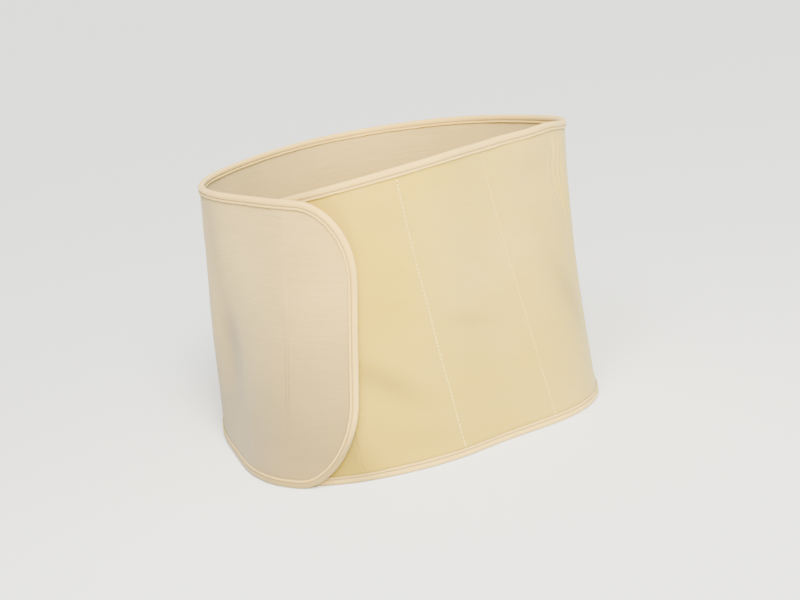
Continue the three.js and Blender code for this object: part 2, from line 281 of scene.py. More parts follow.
def sag(round_):
    """How far the upper edge has dropped towards the crossing of the two ends."""
    on_panel = round_ > 0
    distance = np.where(on_panel, PANEL_CROSS - round_, round_ - FLAP_CROSS)
    reach = np.where(on_panel, PANEL_SAG_REACH, FLAP_SAG_REACH)
    waves = sum(drop * bell((round_ - place) / spread) for place, spread, drop in RIM_WAVES)
    return LAP_SAG * np.maximum(1 - distance * WAIST_GATHER / reach, 0) ** 2 + waves


def dent_at(before, level):
    """Sum of turned bell-shaped dents, at a length before the crossing and a share of the height."""
    total = 0.0
    for place, up, length, breadth, turn, depth in DENTS:
        x = before / BAND_HEIGHT - place
        y = level - up
        turn = np.radians(turn)
        along = (x * np.cos(turn) - y * np.sin(turn)) / length
        across = (x * np.sin(turn) + y * np.cos(turn)) / breadth
        total = total + DENT_DEPTH * depth * np.exp(-(along**2) * 2 - across**2)
    return total


def on_loop(round_, height):
    """A place on the outer face of the tape, as in the part's source."""
    share = height / BAND_HEIGHT
    head = round_ * WAIST_GATHER / WAIST_GIRTH
    foot = (round_ * HIP_STRETCH + HIP_LEAD) / HIP_GIRTH
    turn = foot + (head - foot) * share
    level = share * (1 - sag(round_) / BAND_HEIGHT)
    row = np.clip(np.floor(level * LEVELS).astype(int), 0, LEVELS - 1)
    up = (level * LEVELS - row)[..., None]
    place = (turn % 1.0) * TURNS
    col = np.clip(np.floor(place).astype(int), 0, TURNS - 1)
    on = (place - col)[..., None]
    low = PLANS[row, col] * (1 - on) + PLANS[row, col + 1] * on
    high = PLANS[row + 1, col] * (1 - on) + PLANS[row + 1, col + 1] * on
    plan = low + (high - low) * up
    middle = np.stack([WAIST_OFFSET[0] * level, WAIST_OFFSET[1] * level], -1)
    away = plan - middle
    bearing = np.arctan2(away[..., 1], away[..., 0])
    turns_before = (bearing - np.radians(LAP_BEARING)) / (2 * np.pi)
    before = (turns_before - np.round(turns_before)) * WAIST_GIRTH
    away /= np.linalg.norm(away, axis=-1, keepdims=True)
    plan = plan - away * dent_at(before, level)[..., None]
    rise = RIM_RISE[0] * np.cos(bearing) + RIM_RISE[1] * np.sin(bearing)
    return np.concatenate([plan, ((BAND_HEIGHT + rise) * level)[..., None]], -1)


def once_round(share):
    """Length of the strip that goes once round the loop, at a share of the height."""
    return 1 / ((1 - share) * HIP_STRETCH / HIP_GIRTH + share * WAIST_GATHER / WAIST_GIRTH)


def tuck(round_, share):
    """How far the panel is tucked in where it passes under the flap."""
    covered = FLAP_END + once_round(share)
    return LAP_DEPTH * smooth((round_ - covered + TUCK_REACH) / (TUCK_REACH - TAPE_WIDTH))


def on_band(round_, height, offset):
    """A place on the strip at a level distance outside the face between lining and outer cloth."""
    round_, height, offset = np.broadcast_arrays(round_, height, offset)
    past = np.clip((FLAP_CROSS + FLAP_REACH - round_) / (2 * FLAP_REACH), 0, 1)
    along = round_ - FLAP_SLANT * past * (2 * height / BAND_HEIGHT - 1)
    step = 1.0
    forwards = on_loop(along + step, height) - on_loop(along - step, height)
    upwards = on_loop(along, height + step) - on_loop(along, height - step)
    outwards = np.cross(upwards, forwards)
    outwards[..., 2] = 0
    outwards /= np.linalg.norm(outwards, axis=-1, keepdims=True)
    depth = offset - TAPE_FACE - tuck(along, height / BAND_HEIGHT)
    return on_loop(along, height) + outwards * depth[..., None]


def ripple(x, y, seed, waves=9, shortest=14.0, longest=90.0):
    """A smooth uneven field of about -1 to 1: a sum of plane waves of random turn and length."""
    rng = np.random.default_rng(seed)
    total = 0.0
    for _ in range(waves):
        length = longest * (shortest / longest) ** rng.random()
        turn = rng.random() * np.pi
        phase = rng.random() * 2 * np.pi
        total = total + np.sin(2 * np.pi * (x * np.cos(turn) + y * np.sin(turn)) / length + phase)
    return total / np.sqrt(2 * waves)


def mesh_object(name, points, quads, material, ends=()):
    """A mesh from points in millimetres of the loop's own frame, turned to face outwards.

    ends are closing faces of many corners, each a loop of point numbers.
    """
    points = (np.asarray(points, float).reshape(-1, 3) + SHIFT) * MM
    quads = np.asarray(quads, np.int32).reshape(-1, 4)
    a, b, c, d = (points[quads[:, k]] - points[0] for k in range(4))
    volume = np.einsum("ij,ij->i", a, np.cross(b, c) + np.cross(c, d)).sum()
    if volume < 0:
        quads = quads[:, ::-1]
        ends = [end[::-1] for end in ends]
    corners = np.concatenate([quads.ravel(), *ends]).astype(np.int32)
    sizes = np.concatenate([np.full(len(quads), 4), [len(end) for end in ends]]).astype(np.int32)
    mesh = bpy.data.meshes.new(name)
    mesh.vertices.add(len(points))
    mesh.vertices.foreach_set("co", points.astype(np.float32).ravel())
    mesh.loops.add(len(corners))
    mesh.loops.foreach_set("vertex_index", corners)
    mesh.polygons.add(len(sizes))
    mesh.polygons.foreach_set("loop_start", (np.cumsum(sizes) - sizes).astype(np.int32))
    mesh.polygons.foreach_set("use_smooth", np.ones(len(sizes), bool))
    mesh.update(calc_edges=True)
    mesh.validate()
    mesh.set_sharp_from_angle(angle=np.radians(SHARP_ANGLE))
    mesh.materials.append(material)
    piece = bpy.data.objects.new(name, mesh)
    bpy.context.scene.collection.objects.link(piece)
    return piece


def add_shade(piece, shade):
    """Painted shade, 0 to 1, as an attribute that the finish mixes towards its shaded colour."""
    layer = piece.data.attributes.new("shade", "FLOAT", "POINT")
    layer.data.foreach_set("value", np.clip(shade, 0, 1).astype(np.float32).ravel())


def add_uv(piece, uv):
    """Strip places in metres as a UV map, so a weave follows the cloth."""
    mesh = piece.data
    layer = mesh.uv_layers.new(name="strip")
    index = np.zeros(len(mesh.loops), np.int32)
    mesh.loops.foreach_get("vertex_index", index)
    layer.data.foreach_set("uv", (np.asarray(uv).reshape(-1, 2)[index] * MM).astype(np.float32).ravel())


def sheet_quads(rows, columns):
    """Quads of a closed sheet: an inner and an outer grid of columns x rows, and the rim between them."""
    grid = np.arange(rows * columns).reshape(columns, rows)
    outer = grid + rows * columns
    inside = np.stack([grid[:-1, :-1], grid[1:, :-1], grid[1:, 1:], grid[:-1, 1:]], -1).reshape(-1, 4)
    outside = np.stack([outer[:-1, :-1], outer[:-1, 1:], outer[1:, 1:], outer[1:, :-1]], -1).reshape(-1, 4)
    rim = np.concatenate([grid[:, 0], grid[-1, 1:], grid[-2::-1, -1], grid[0, -2:0:-1]])
    edge = np.concatenate([outer[:, 0], outer[-1, 1:], outer[-2::-1, -1], outer[0, -2:0:-1]])
    sides = np.stack([rim, edge, np.roll(edge, -1), np.roll(rim, -1)], -1)
    return np.concatenate([inside, outside, sides])


def edge_distance(round_, height):
    """How far in from the strip's edge a place lies, round the flap's corners as from an ellipse."""
    x = round_ - FLAP_END
    y = np.minimum(height, BAND_HEIGHT - height)
    across = np.maximum(CORNER_REACH - x, 0) / CORNER_REACH
    upwards = np.maximum(CORNER_RISE - y, 0) / CORNER_RISE
    corner = (1 - np.hypot(across, upwards)) * (CORNER_REACH + CORNER_RISE) / 2
    return np.where((x < CORNER_REACH) & (y < CORNER_RISE), corner, np.minimum(x, y))


def lower_down(share, top, gain, below, over):
    """A measure that grows from its value at the top, below a share of the height."""
    return top + gain * smooth((below - share) / over)


def beside_flap(round_, height):
    """Shade that the flap's edge throws on the panel: two bells outside the edge, deeper lower down."""
    share = height / BAND_HEIGHT
    flat_place = round_ - once_round(share) + FLAP_SLANT * (2 * share - 1)
    outside = np.minimum(edge_distance(flat_place, height), 0)
    depth, wide, reach = (lower_down(share, *change) for change in (BESIDE_DEPTH, BESIDE_WIDE, BESIDE_REACH))
    return depth * ((1 - wide) * bell(outside / BESIDE_CLOSE) + wide * bell(outside / reach))


def hollow_shade(round_, height, hollows):
    """Sum of turned bell-shaped patches of painted shade on the strip, painted light where a depth is below
    0.
    """
    total = 0.0
    for place, up, length, breadth, turn, depth in hollows:
        turn = np.radians(turn)
        along = (round_ - place) * np.cos(turn) + (height - up) * np.sin(turn)
        across = (height - up) * np.cos(turn) - (round_ - place) * np.sin(turn)
        total = total + depth * np.exp(-((along / length) ** 2) - (across / breadth) ** 2)
    return total


def panel_shade(round_, height):
    """Painted shade on the panel: the flap's shadow and the patches."""
    return beside_flap(round_, height) + hollow_shade(round_, height, PANEL_SHADE_PATCHES)


def flap_shade(round_, height):
    """Painted shade on the flap: a little all over, the patches, and a dark line along its lower stitching.
    """
    x = np.abs(round_ - FLAP_END - FLAP_SEAM) - FLAP_SEAM_SPREAD / 2
    depth, half_width = FLAP_LINE_SHADE
    top, reach = FLAP_LINE_TOP
    line_shade = depth * bell(x / half_width) * smooth((top - height) / reach)
    return FLAP_BASE + hollow_shade(round_, height, FLAP_SHADE_PATCHES) + line_shade


def lining_shade(round_, height):
    """The lining lies deeper in shade below the upper edge and towards the left end."""
    below, start, reach = LINING_DEEPER
    left, left_start, left_reach = LINING_LEFT
    return below * smooth((start - height) / reach) + left * smooth((left_start - round_) / left_reach)


def cloth(name, rounds, low, rows, inner, outer, material, tone=0.0, shading=None):
    """A closed sheet from its low edge up to as far below the strip's top.

    inner and outer give the offsets of its faces, and low one height for each column. The tone is painted
    shade: how far the cloth is darkened from its top to its lower edge. shading gives more painted shade, and
    a painted shade line lies beside the tape's edge.
    """
    high = BAND_HEIGHT - low
    share = np.linspace(0, 1, rows)[None, :]
    height = low[:, None] + (high - low)[:, None] * share
    round_ = np.broadcast_to(rounds[:, None], height.shape)
    faces = [on_band(round_, height, side(round_, height)) for side in (inner, outer)]
    piece = mesh_object(name, np.stack(faces), sheet_quads(rows, len(rounds)), material)
    add_uv(piece, np.tile(np.stack([round_, height], -1).reshape(-1, 2), (2, 1)))
    # Painted shade: a dark line beside the tape's edge
    beyond = np.maximum(edge_distance(round_, height) - TAPE_SEEN, 0)
    depth, reach = BESIDE_TAPE
    # Painted shade lower down, by the tone
    shade = depth * bell(beyond / reach) + tone * smooth(LOW_SHADE_START - LOW_SHADE_RATE * height / BAND_HEIGHT)
    if shading:
        shade = shade + shading(round_, height)
    add_shade(piece, np.stack([shade, shade]))
    return piece


def stops_with(start, end, step, seams=(), reach=4.0, fine=0.55):
    """Columns from start to end at about a step apart, closer together beside each seam."""
    stops = list(np.linspace(start, end, int(round((end - start) / step)) + 1))
    for seam in seams:
        if start < seam < end:
            stops = [s for s in stops if abs(s - seam) > reach or s in (start, end)]
            stops += [s for s in seam + np.arange(-reach, reach + fine / 2, fine) if start < s < end]
    return np.array(sorted(stops))


def seam_wander(height, k):
    """How far the k-th seam strays sideways at a height."""
    return SEAM_STRAY * ripple(height, 0 * height + 40.0 * k, 100 + k, waves=5, shortest=30, longest=120)


def seam_relief(round_, height):
    """The stitched seams: narrow grooves with low swells beside them, puckered along their length."""
    groove, groove_width = SEAM_GROOVE
    swell, swell_width = SEAM_SWELL
    pucker, pucker_reach = SEAM_PUCKER
    total = np.zeros_like(round_)
    for k, seam in enumerate(SEAMS):
        x = round_ - seam - seam_wander(height, k)
        uneven = ripple(height, x * 0.4, 150 + k, waves=6, shortest=9, longest=26)
        swollen = swell * bell((np.abs(x) - SEAM_SWELL_PLACE) / swell_width)
        total += -groove * bell(x / groove_width) + swollen + pucker * uneven * bell(x / pucker_reach)
    return total


def fold_relief(round_, height):
    """Small upright folds that run out downwards: a sine across them, faded by a bell and up the height."""
    fade = bell((round_ - FOLD_PLACE) / FOLD_SPREAD) * smooth((height - FOLD_FOOT) / FOLD_GROWTH)
    fade = fade * smooth((BAND_HEIGHT - TAPE_WIDTH - height) / FOLD_END)
    stray = FOLD_STRAY * ripple(height, 0.3 * round_, 61, waves=4, shortest=40, longest=120)
    lean = FOLD_LEAN * (height - FOLD_FOOT) + stray
    return FOLD_DEPTH * fade * np.sin(2 * np.pi * (round_ - FOLD_PLACE + lean) / FOLD_PITCH)


def matt(name, colour, roughness, sheen=0.0):
    """A matt finish. Numbers that are the same all over are set on the shader's own sockets."""
    material = bpy.data.materials.new(name)
    material.use_nodes = True
    shader = material.node_tree.nodes["Principled BSDF"]
    shader.inputs["Base Color"].default_value = (*colour, 1)
    shader.inputs["Roughness"].default_value = roughness
    shader.inputs["Specular IOR Level"].default_value = 0.15
    shader.inputs["Sheen Weight"].default_value = sheen
    shader.inputs["Sheen Roughness"].default_value = 0.6
    return material


def noise(tree, source, scale, detail, stretch=(1.0, 1.0, 1.0)):
    """Noise of 0 to 1 with so many lumps a metre, drawn out along an axis where its stretch is small."""
    mapping = tree.nodes.new("ShaderNodeMapping")
    mapping.inputs["Scale"].default_value = stretch
    tree.links.new(source, mapping.inputs["Vector"])
    node = tree.nodes.new("ShaderNodeTexNoise")
    node.inputs["Scale"].default_value = scale
    node.inputs["Detail"].default_value = detail
    tree.links.new(mapping.outputs["Vector"], node.inputs["Vector"])
    return node.outputs["Fac"]


def weighted(tree, parts):
    """Sum of the outputs, each times its weight."""
    total = None
    for output, weight in parts:
        node = tree.nodes.new("ShaderNodeMath")
        node.operation = "MULTIPLY_ADD"
        node.inputs[1].default_value = weight
        tree.links.new(output, node.inputs[0])
        if total:
            tree.links.new(total, node.inputs[2])
        else:
            node.inputs[2].default_value = 0.0
        total = node.outputs[0]
    return total


def times(colour, factor):
    """A colour made lighter or darker, up to full."""
    return tuple(min(part * factor, 1) for part in colour)


def mixed(tree, share, first, second):
    """A mix by an output's share of the second: each is a colour of its own or another output."""
    node = tree.nodes.new("ShaderNodeMix")
    node.data_type = "RGBA"
    tree.links.new(share, node.inputs[MIX_SHARE])
    for place, colour in ((MIX_FIRST, first), (MIX_SECOND, second)):
        if isinstance(colour, tuple):
            node.inputs[place].default_value = (*colour, 1)
        else:
            tree.links.new(colour, node.inputs[place])
    return node.outputs[MIX_RESULT]


def add_bump(tree, height, strength, distance):
    """A bump from an output, linked to the shader's normal."""
    node = tree.nodes.new("ShaderNodeBump")
    node.inputs["Strength"].default_value = strength
    node.inputs["Distance"].default_value = distance
    tree.links.new(height, node.inputs["Height"])
    tree.links.new(node.outputs["Normal"], tree.nodes["Principled BSDF"].inputs["Normal"])


def knitted(name, colour, roughness, rib, streak, relief, mottling, second=None, patch=24.0,
            shaded=PAINTED_SHADE_COLOUR, turning=()):
    """Cloth in strip places: fine ribs along the strip, drawn-out streaks, grain and a slow change of tone.

    The tone runs between the colour a little darker and a second colour a little lighter, in so many
    patches a metre. By the piece's shade attribute it turns to the shaded colour: painted shade. turning
    gives a rate a metre round at which the second colour gains, and the place round where it has gained
    nothing; that change round the strip is painted light.
    """
    material = matt(name, colour, roughness, CLOTH_SHEEN)
    tree = material.node_tree
    uv = tree.nodes.new("ShaderNodeUVMap")
    uv.uv_map = "strip"
    place = uv.outputs["UV"]
    ribs = noise(tree, place, 1 / (rib * MM), 2.0, stretch=(0.1, 1.0, 1.0))
    streaks = noise(tree, place, STREAKS, 3.0, stretch=(0.05, 1.0, 1.0))
    grain = noise(tree, place, GRAINS, 2.0)
    tone = noise(tree, place, patch, 4.0, stretch=(0.7, 1.0, 1.0))
    add_bump(tree, weighted(tree, ((ribs, 0.6), (streaks, streak), (grain, 0.4))), relief, CLOTH_BUMP)
    parts = [(ribs, 0.3), (streaks, streak), (tone, 0.9 - streak), (grain, 0.1)]
    start = 0.4
    # Painted light: the colour changes steadily round the strip
    if turning:
        rate, level_place = turning
        split = tree.nodes.new("ShaderNodeSeparateXYZ")
        tree.links.new(place, split.inputs["Vector"])
        parts.append((split.outputs["X"], rate))
        start += rate * level_place
    spread = tree.nodes.new("ShaderNodeMapRange")
    spread.inputs["From Min"].default_value = start
    spread.inputs["From Max"].default_value = start + 0.5
    tree.links.new(weighted(tree, parts), spread.inputs["Value"])
    darker, lighter = times(colour, 1 - mottling), times(second or colour, 1 + mottling)
    lit = mixed(tree, spread.outputs["Result"], darker, lighter)
    # Painted shade: the shade attribute turns the colour towards the shaded colour
    shade = tree.nodes.new("ShaderNodeAttribute")
    shade.attribute_name = "shade"
    shade_weight = weighted(tree, ((shade.outputs["Fac"], PAINTED_SHADE_STRENGTH),))
    tree.links.new(mixed(tree, shade_weight, lit, shaded), tree.nodes["Principled BSDF"].inputs["Base Color"])
    return material


def thread_finish(name, colour):
    """Sewing thread: a slight change of tone from stitch to stitch and a fine twist."""
    material = matt(name, colour, roughness=0.6)
    tree = material.node_tree
    place = tree.nodes.new("ShaderNodeTexCoord").outputs["Object"]
    tone = mixed(tree, noise(tree, place, scale=300.0, detail=1.0), times(colour, 0.85), times(colour, 1.1))
    tree.links.new(tone, tree.nodes["Principled BSDF"].inputs["Base Color"])
    add_bump(tree, noise(tree, place, scale=2500.0, detail=0.0), strength=0.3, distance=0.0002)
    return material


# Frame
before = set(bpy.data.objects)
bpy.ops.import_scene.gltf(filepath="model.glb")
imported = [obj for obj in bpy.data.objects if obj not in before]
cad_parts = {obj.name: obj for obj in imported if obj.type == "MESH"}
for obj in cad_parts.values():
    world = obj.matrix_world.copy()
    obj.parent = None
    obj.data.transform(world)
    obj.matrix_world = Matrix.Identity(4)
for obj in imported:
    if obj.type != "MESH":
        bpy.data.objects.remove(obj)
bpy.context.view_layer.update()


def tape_extent():
    """Middle of the lower tape's outermost face in plan, before the loop is shifted."""
    rounds = np.linspace(FLAP_END + CORNER_REACH, PANEL_END - TAPE_WIDTH, 1200)
    heights = np.linspace(TAPE, TAPE_WIDTH, 5)
    face = on_band(rounds[:, None], heights[None, :], TAPE_FACE).reshape(-1, 3)
    return (face.min(0) + face.max(0)) / 2


tape_low, tape_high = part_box("bottom_binding")
SHIFT = np.array([*((np.array(tape_low) + np.array(tape_high)) / 2 / MM)[:2], 0.0])
SHIFT[:2] -= tape_extent()[:2]

# Materials
# Painted light: the panel's turning makes its cloth greyer and cooler as the round gets less, for cooler
# light there
PANEL_CLOTH = knitted(
    "panel_cloth", (0.535, 0.365, 0.01), 0.8, rib=1.6, streak=0.15, relief=0.14, mottling=0.06,
    second=(0.50, 0.36, 0.075), patch=11.0, shaded=(0.155, 0.118, 0.02), turning=(-1.2, 0.30))
FLAP_CLOTH = knitted(
    "flap_cloth", (0.54, 0.385, 0.12), 0.95, rib=1.3, streak=0.45, relief=0.35, mottling=0.14)
LINING_CLOTH = knitted(
    "lining_cloth", (0.53, 0.38, 0.13), 0.95, rib=1.3, streak=0.45, relief=0.35, mottling=0.14,
    shaded=(0.16, 0.11, 0.03))
TAPE_CLOTH = knitted(
    "tape_cloth", (0.68, 0.46, 0.11), 0.8, rib=0.9, streak=0.15, relief=0.2, mottling=0.07)
HOOK_CLOTH = knitted(
    "hook_cloth", (0.45, 0.34, 0.15), 0.95, rib=1.4, streak=0.2, relief=0.8, mottling=0.15)
SEAM_THREAD = thread_finish("seam_thread", (0.70, 0.52, 0.11))
TAPE_THREAD = thread_finish("tape_thread", (0.45, 0.30, 0.10))
FLAP_THREAD = thread_finish("flap_thread", (0.60, 0.44, 0.16))


def flat_side(offset):
    """A plain side of a sheet."""
    return lambda r, h: offset


def panel_outside(r, h):
    """The panel's face: seams, quilting between them, a slow unevenness and the small folds."""
    beside = np.abs((r - SEAMS[0] + SEAM_PITCH / 2) % SEAM_PITCH - SEAM_PITCH / 2)
    depth, reach = QUILTING
    quilted = depth * smooth(beside / reach) - depth
    edge = 1.0 - bell((np.minimum(h, BAND_HEIGHT - h) - TAPE_WIDTH) / QUILTING_END)
    slow = PANEL_UNEVEN * ripple(r, h, 7, waves=8, shortest=30, longest=120)
    return GAP / 2 + OUTER + seam_relief(r, h) + quilted * edge + slow + fold_relief(r, h)


def flap_outside(r, h):
    """The flap's face, with its faint double stitching."""
    x = np.abs(r - FLAP_END - FLAP_SEAM) - FLAP_SEAM_SPREAD / 2
    depth, half_width = FLAP_GROOVE
    line = -depth * bell(x / half_width) + FLAP_RIDGE * (x < 0)
    return GAP / 2 + OUTER + line + FLAP_UNEVEN * ripple(r, h, 9, waves=8, shortest=20, longest=100)


def lining_inside(r, h):
    """The lining's inner face, slowly uneven."""
    return -GAP / 2 - LINING + LINING_UNEVEN * ripple(r, h, 12, waves=8, shortest=22, longest=100)


def rounded_columns(steps):
    """Columns of the flap's rounded end, with the lowest height of each."""
    turn = np.radians(90) * np.arange(steps) / steps
    rounds = FLAP_END + CORNER_REACH - (CORNER_REACH - EDGE_INSET) * np.cos(turn)
    low = CORNER_RISE - (CORNER_RISE - EDGE_INSET) * np.sin(turn)
    return rounds, low


def full_columns(rounds):
    """Columns that reach from edge to edge, with the lowest height of each."""
    return rounds, np.full(len(rounds), EDGE_INSET)


def joined(*parts):
    """Several runs of columns in one."""
    return [np.concatenate(column) for column in zip(*parts)]


panel_stops = stops_with(JOIN + GAP / 2, PANEL_END - EDGE_INSET, OUTER_STEP, SEAMS)
fold_stops = FOLD_PLACE + np.arange(-2 * FOLD_SPREAD, 2 * FOLD_SPREAD, FOLD_STEP) + FOLD_SHIFT
panel_columns = full_columns(np.unique(np.concatenate([panel_stops, fold_stops])))
# The panel's tone and shading are painted shade: darker lower down, in patches and beside the flap's edge
panel = cloth("panel_cloth", *panel_columns, PANEL_ROWS,
              flat_side(GAP / 2), panel_outside, PANEL_CLOTH, tone=0.2, shading=panel_shade)

corner_start = FLAP_END + CORNER_REACH
stitch_edges = [FLAP_END + FLAP_SEAM + side * FLAP_SEAM_SPREAD / 2 for side in (-1, 1)]
flap_stops = stops_with(corner_start, JOIN - GAP / 2, OUTER_STEP, stitch_edges)
flap_columns = joined(rounded_columns(FLAP_CORNER_COLUMNS), full_columns(flap_stops))
# The flap's tone and shading are painted shade: darker lower down, a little all over, in patches and by its
# stitching
flap = cloth("flap_cloth", *flap_columns, FLAP_ROWS,
             flat_side(GAP / 2), flap_outside, FLAP_CLOTH, tone=0.95, shading=flap_shade)

lining_stops = stops_with(corner_start, PANEL_END - EDGE_INSET, LINING_STEP)
lining_columns = joined(rounded_columns(LINING_CORNER_COLUMNS), full_columns(lining_stops))
lining = cloth("lining_cloth", *lining_columns, LINING_ROWS,
               lining_inside, flat_side(-GAP / 2), LINING_CLOTH, shading=lining_shade)


def tape_profile():
    """Closed section of the folded tape: distance in from the fold, and offset as on_band takes it.

    Outside, a puffy roll reaches from the fold to a crease, and a narrow flat strip from there to the
    tape's edge. The inside is the same turned over.
    """
    middle = (TAPE_FACE - TAPE_INNER_FACE) / 2
    half = TAPE_FACE - middle
    roll = np.linspace(0, 1, 19)
    puff = ROLL_PUFF * np.sin(np.pi * roll**0.8)
    depth_roll = CREASE * roll**1.1
    fold = np.sqrt(np.clip(1 - (1 - np.clip(depth_roll / FOLD_ROUND, 0, 1)) ** 2, 0, 1))
    face_roll = fold * (half - FACE_DROP + puff)
    strip = np.array([0.08, 0.16, 0.28, 0.45, 0.65, 0.82, 0.94, 1.0])
    depth_strip = CREASE + (TAPE_SEEN - CREASE) * strip
    face_strip = half - FACE_DROP + STRIP_PUFF * np.sin(np.pi * strip)
    depth = np.concatenate([depth_roll, depth_strip])
    face = np.concatenate([face_roll, face_strip])
    cut, half_width = CREASE_CUT
    face -= cut * bell((depth - CREASE) / half_width)
    under = half - TAPE - BACK_DROP
    back = np.array([under, under, 0.0])
    back_depth = np.array([TAPE_SEEN, *BACK_FOLD])
    one = np.stack([np.concatenate([depth, back_depth]), np.concatenate([face, back])], -1)
    other = one * (1, -1)
    section = np.concatenate([one, other[-2:0:-1]])
    return section[:, 0], section[:, 1] + middle


def run_length(round_, height):
    """Length along a run of strip places, from its start to each."""
    return np.concatenate([[0], np.cumsum(np.hypot(np.diff(round_), np.diff(height)))])


def tape_shade(r, h, flat, outside):
    """Painted shade on the tape: at its crease and edge, and outside, the panel's and the lower edges'."""
    low_top, low_reach = TAPE_LOW
    left_start, left_reach = TAPE_LEFT
    low = smooth((low_top - h) / low_reach)
    left = smooth((left_start - r) / left_reach)
    lower_tape_shade = low * (1 - STRIP_LIGHTER * smooth(flat - CREASE)) * left
    depth, half_width = TURNED_UNDER_SHADE
    turned_under_shade = (depth + CORNER_UNDER_SHADE * (r < corner_start)) * low * bell(flat / half_width)
    seen = beside_flap(r, h) + hollow_shade(r, h, PANEL_SHADE_PATCHES) + lower_tape_shade + turned_under_shade
    edge, edge_width = TAPE_EDGE_SHADE
    crease_shade = bell((flat - CREASE) / TAPE_CREASE_SHADE_WIDTH) + edge * bell((flat - TAPE_SEEN) / edge_width)
    return crease_shade * np.where(outside, 1.0, TAPE_INSIDE) + seen * outside


def tape_piece(name, round_, height, in_round, in_height, seed):
    """The tape's section swept along an edge, slightly puckered along its length and even at both ends."""
    depth, offset = tape_profile()
    middle = offset.mean()
    length = run_length(round_, height)[:, None]
    free = smooth(np.minimum(length, length[-1] - length) / EVEN_END)
    flat = depth[None, :]
    swell = 1 + TAPE_SWELL * free * ripple(length, offset[None, :] * 2, seed, waves=7, shortest=5, longest=40)
    pull = TAPE_PULL * free * ripple(length, 0.0, seed + 1, waves=6, shortest=9, longest=60)
    past = np.clip((flat - CREASE) / (TAPE_SEEN - CREASE), 0, 1)
    d = flat + pull * past
    r = round_[:, None] + in_round[:, None] * d
    h = height[:, None] + in_height[:, None] * d
    o = middle + (offset[None, :] - middle) * swell
    points = on_band(r, h, o)
    columns, rows = r.shape
    grid = np.arange(columns * rows).reshape(columns, rows)
    ahead = np.roll(grid, -1, axis=1)
    sides = np.stack([grid[:-1], ahead[:-1], ahead[1:], grid[1:]], -1).reshape(-1, 4)
    piece = mesh_object(name, points, sides, TAPE_CLOTH, ends=(grid[0, ::-1], grid[-1]))
    around = run_length(depth, offset)[None, :]
    add_uv(piece, np.stack(np.broadcast_arrays(length, around), -1))
    add_shade(piece, tape_shade(r, h, flat, o > middle))
    return piece


def straight_stops(start, end, height, inward, step=2.4):
    """Stops along an upper or lower edge: round, height, and the way in from the edge, round and up."""
    round_ = np.linspace(start, end, int(round((end - start) / step)) + 1)
    same = np.ones_like(round_)
    return round_, height * same, 0 * same, inward * same


def corner_stops(steps=40, straight=36):
    """The same round the flap's end: the lower corner, the upright and the upper corner."""
    turn = np.radians(90) * np.linspace(1, 0, steps)
    reach, rise = np.cos(turn) / CORNER_REACH, np.sin(turn) / CORNER_RISE
    length = np.hypot(reach, rise)
    round_ = FLAP_END + CORNER_REACH * (1 - np.cos(turn))
    height = CORNER_RISE * (1 - np.sin(turn))
    up = np.linspace(CORNER_RISE, BAND_HEIGHT - CORNER_RISE, straight)[1:-1]
    same = np.ones_like(up)
    return (
        np.concatenate([round_, FLAP_END * same, round_[::-1]]),
        np.concatenate([height, up, BAND_HEIGHT - height[::-1]]),
        np.concatenate([reach / length, same, (reach / length)[::-1]]),
        np.concatenate([rise / length, 0 * same, -(rise / length)[::-1]]),
    )


tape_start = corner_start + TAPE_START_GAP
tape_end = PANEL_END - TAPE_SEEN - GAP / 2
top_edge = straight_stops(tape_start, tape_end, BAND_HEIGHT, -1.0)
bottom_edge = straight_stops(tape_start, tape_end, 0.0, 1.0)
flap_edge = corner_stops()
end_height = np.linspace(EDGE_INSET, BAND_HEIGHT - EDGE_INSET, 90)
end_same = np.ones_like(end_height)
top_tape = tape_piece("top_tape", *top_edge, 31)
bottom_tape = tape_piece("bottom_tape", *bottom_edge, 32)
flap_tape = tape_piece("flap_tape", *flap_edge, 33)
end_tape = tape_piece("inner_end_tape", PANEL_END * end_same, end_height, -end_same, 0 * end_same, 34)


def stitches(name, round_, height, to_round, to_height, face, size, material):
    """Thread bars half sunk in a face: a six-sided spindle along each stitch, its ends drawn in and down.

    round_ and height are the stitches' middles, to_round and to_height their direction, face the offset
    that each lies on, and size their length, half width and rise.
    """
    length, half_width, rise = size
    along = np.array([-0.5, -0.4, 0.0, 0.4, 0.5]) * length
    thick = np.array([0.35, 0.85, 1.0, 0.85, 0.35])
    rings, sides = len(along), 6
    turn = 2 * np.pi * np.arange(sides) / sides
    across = thick[:, None] * half_width * np.cos(turn)
    lift = thick[:, None] * rise * np.sin(turn) - 0.5 * rise * (1 - thick)[:, None]
    run = along[:, None] + 0 * across
    each = (slice(None), None, None)
    r = round_[each] + to_round[each] * run - to_height[each] * across
    h = height[each] + to_height[each] * run + to_round[each] * across
    points = on_band(r, h, face[each] + lift)
    count = rings * sides
    grid = np.arange(count).reshape(rings, sides)
    ahead = np.roll(grid, -1, axis=1)
    walls = np.stack([grid[:-1], ahead[:-1], ahead[1:], grid[1:]], -1).reshape(-1, 4)
    first, last = grid[0], grid[-1]
    ends = [first[[0, 3, 2, 1]], first[[0, 5, 4, 3]], last[[0, 1, 2, 3]], last[[0, 3, 4, 5]]]
    quads = np.concatenate([walls, ends])
    quads = (quads[None] + count * np.arange(len(round_))[:, None, None]).reshape(-1, 4)
    return mesh_object(name, points, quads, material)


def along_run(round_, height, pitch):
    """Stitch middles at an even pitch along a run of strip places, with their directions."""
    length = run_length(round_, height)
    middles = np.arange(pitch / 2, length[-1] - pitch / 4, pitch)
    place, before, after = (
        np.stack([np.interp(middles + step, length, run) for run in (round_, height)])
        for step in (0.0, -0.5, 0.5))
    direction = after - before
    return (*place, *(direction / np.hypot(*direction)))


